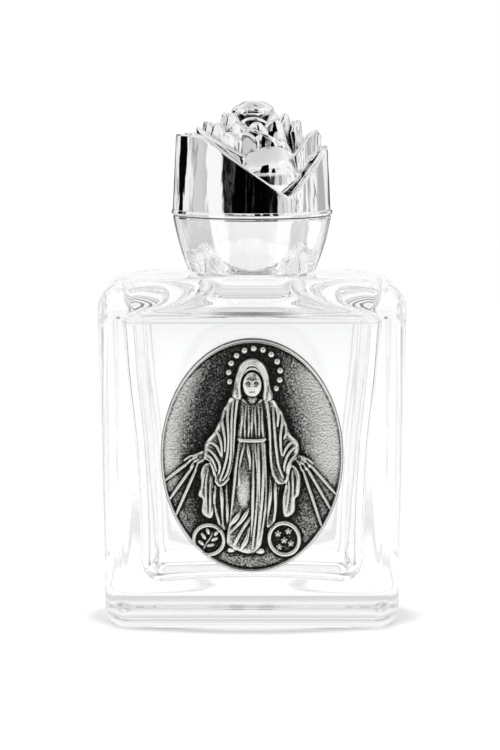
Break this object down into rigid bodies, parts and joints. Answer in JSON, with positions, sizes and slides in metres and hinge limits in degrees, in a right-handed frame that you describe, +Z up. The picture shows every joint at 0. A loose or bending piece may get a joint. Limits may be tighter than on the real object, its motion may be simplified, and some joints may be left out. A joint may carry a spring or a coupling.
{
  "type": "holy water bottle",
  "caption": "Thick rectangular glass flask with a silver rose screw cap and an oval relief medal on its front, for keeping and sprinkling holy water.",
  "frame": {"origin": "on the surface that the bottle stands on, under the axis of the neck", "axes": "+Z up along the neck's axis, -Y out of the front face that carries the medal, +X to the right seen from the front"},
  "size_m": [0.05, 0.0324, 0.0858],
  "materials": {
    "clear_glass": "clear polished soda-lime glass",
    "antiqued_metal": null,
    "adhesive": "cured clear adhesive pad",
    "foam_liner": "white expanded polyethylene",
    "insert_plastic": "moulded natural polypropylene",
    "silver_plating": "moulded plastic, electroplated to a bright silver mirror"
  },
  "bodies": {
    "bottle": {"glass_bottle": "clear_glass", "medal": "antiqued_metal", "medal_adhesive": "adhesive"},
    "liner": {"seal_liner": "foam_liner"},
    "cap": {"cap_skirt": "silver_plating", "petal_shell": "silver_plating", "rose_heart": "silver_plating", "threaded_insert": "insert_plastic"}
  },
  "joints": [
    {"name": "cap_rise", "type": "slide", "parent": "bottle", "child": "liner", "axis": [0, 0, 1], "range_m": [0, 0.00953]},
    {"name": "cap_turn", "type": "hinge", "parent": "liner", "child": "cap", "pos_m": [0, 0, 0.0669], "axis": [0, 0, 1], "range_deg": [0, 1080]}
  ],
  "couplings": [
    {"joint": "cap_rise", "follows": "cap_turn", "m_per_rad": 0.00050532}
  ]
}
